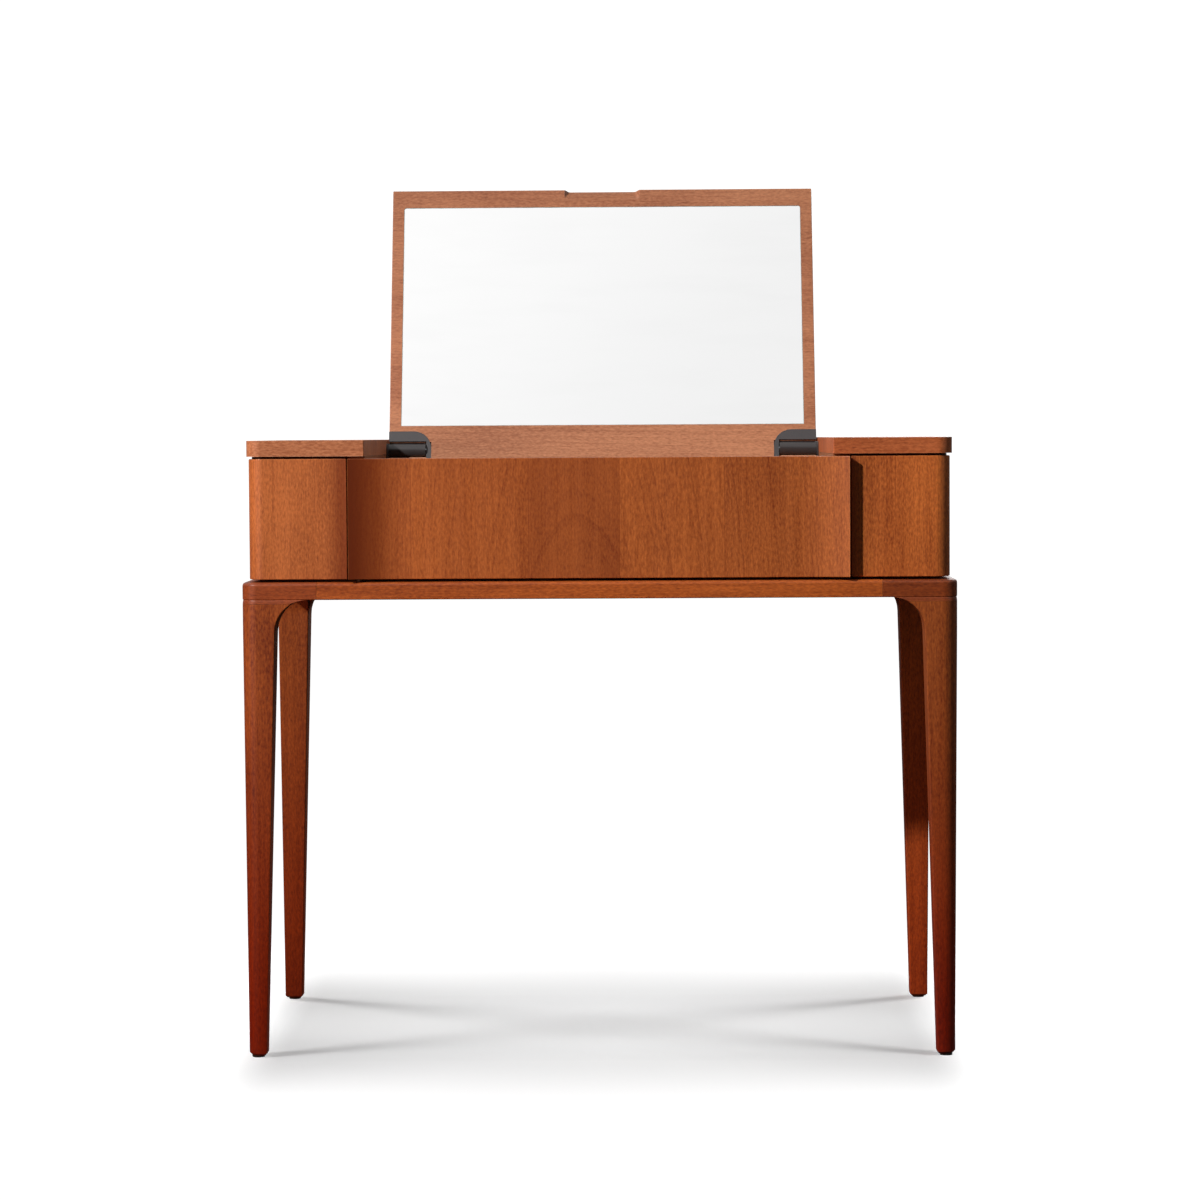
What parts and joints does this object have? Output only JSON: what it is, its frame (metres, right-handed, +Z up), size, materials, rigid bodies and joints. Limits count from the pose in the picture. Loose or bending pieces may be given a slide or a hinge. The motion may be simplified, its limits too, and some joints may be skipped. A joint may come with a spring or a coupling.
{
  "type": "vanity table with flip-up mirror",
  "caption": "Wooden vanity table on four tapered legs, with a mirror inside a flip-up middle lid, a cosmetics tray under it and a flared-front drawer.",
  "frame": {"origin": "on the floor, under the middle of the box that holds the table with its lid open and its drawer shut", "axes": "+Z up, +X to the sitter's right, +Y towards the back of the table"},
  "size_m": [0.9, 0.5183, 1.1266],
  "materials": {
    "leg_wood": "satin reddish-brown stained hardwood",
    "band_wood": "satin reddish-brown stained hardwood, redder",
    "case_veneer": "satin stained veneer, upright grain",
    "top_wood": "satin stained wood, grain along the width",
    "inside_wood": "matte stained board",
    "strip_wood": "matte dark packing wood",
    "drawer_box_wood": "clear matte lacquered pale board",
    "mirror_silver": "silvered glass",
    "hinge_iron": "dark grey powder coat",
    "bright_steel": "zinc-plated steel",
    "glide_plastic": "matte"
  },
  "bodies": {
    "case": {"front_left_leg": "leg_wood", "front_right_leg": "leg_wood", "rear_left_leg": "leg_wood", "rear_right_leg": "leg_wood", "front_rail": "leg_wood", "rear_rail": "leg_wood", "left_rail": "leg_wood", "right_rail": "leg_wood", "front_left_corner_block": "band_wood", "front_right_corner_block": "band_wood", "rear_left_corner_block": "band_wood", "rear_right_corner_block": "band_wood", "left_side_shell": "case_veneer", "right_side_shell": "case_veneer", "back_panel": "case_veneer", "left_wing_top": "top_wood", "right_wing_top": "top_wood", "rear_top_rail": "top_wood", "bottom_panel": "inside_wood", "left_partition": "inside_wood", "right_partition": "inside_wood", "tray_front_rail": "inside_wood", "tray_floor": "inside_wood", "front_spacer_strip": "strip_wood", "rear_spacer_strip": "strip_wood", "left_spacer_strip": "strip_wood", "right_spacer_strip": "strip_wood", "left_wing_cleat": "strip_wood", "right_wing_cleat": "strip_wood", "rear_top_spacer": "strip_wood", "left_wing_strip": "strip_wood", "right_wing_strip": "strip_wood", "left_hinge_bracket": "hinge_iron", "right_hinge_bracket": "hinge_iron", "left_hinge_pin": "bright_steel", "right_hinge_pin": "bright_steel", "front_left_case_bolt": "bright_steel", "front_right_case_bolt": "bright_steel", "rear_left_case_bolt": "bright_steel", "rear_right_case_bolt": "bright_steel", "left_slide_case_channel": "bright_steel", "right_slide_case_channel": "bright_steel", "front_left_foot_glide": "glide_plastic", "front_right_foot_glide": "glide_plastic", "rear_left_foot_glide": "glide_plastic", "rear_right_foot_glide": "glide_plastic"},
    "lid": {"lid_panel": "top_wood", "mirror_glass": "mirror_silver", "left_hinge_plate": "hinge_iron", "right_hinge_plate": "hinge_iron"},
    "drawer": {"drawer_front": "case_veneer", "drawer_left_side": "drawer_box_wood", "drawer_right_side": "drawer_box_wood", "drawer_back": "drawer_box_wood", "drawer_base": "drawer_box_wood", "left_slide_drawer_channel": "bright_steel", "right_slide_drawer_channel": "bright_steel"},
    "slide_middles": {"left_slide_middle_channel": "bright_steel", "right_slide_middle_channel": "bright_steel"}
  },
  "joints": [
    {"name": "lid_hinge", "type": "hinge", "parent": "case", "child": "lid", "pos_m": [0, 0.13136, 0.765], "axis": [1, 0, 0], "range_deg": [0, 107.5]},
    {"name": "drawer_slide", "type": "slide", "parent": "case", "child": "drawer", "axis": [0, -1, 0], "range_m": [0, 0.33]},
    {"name": "slide_middle_travel", "type": "slide", "parent": "case", "child": "slide_middles", "axis": [0, -1, 0], "range_m": [0, 0.165]}
  ],
  "couplings": [
    {"joint": "slide_middle_travel", "follows": "drawer_slide", "ratio": 0.5}
  ]
}
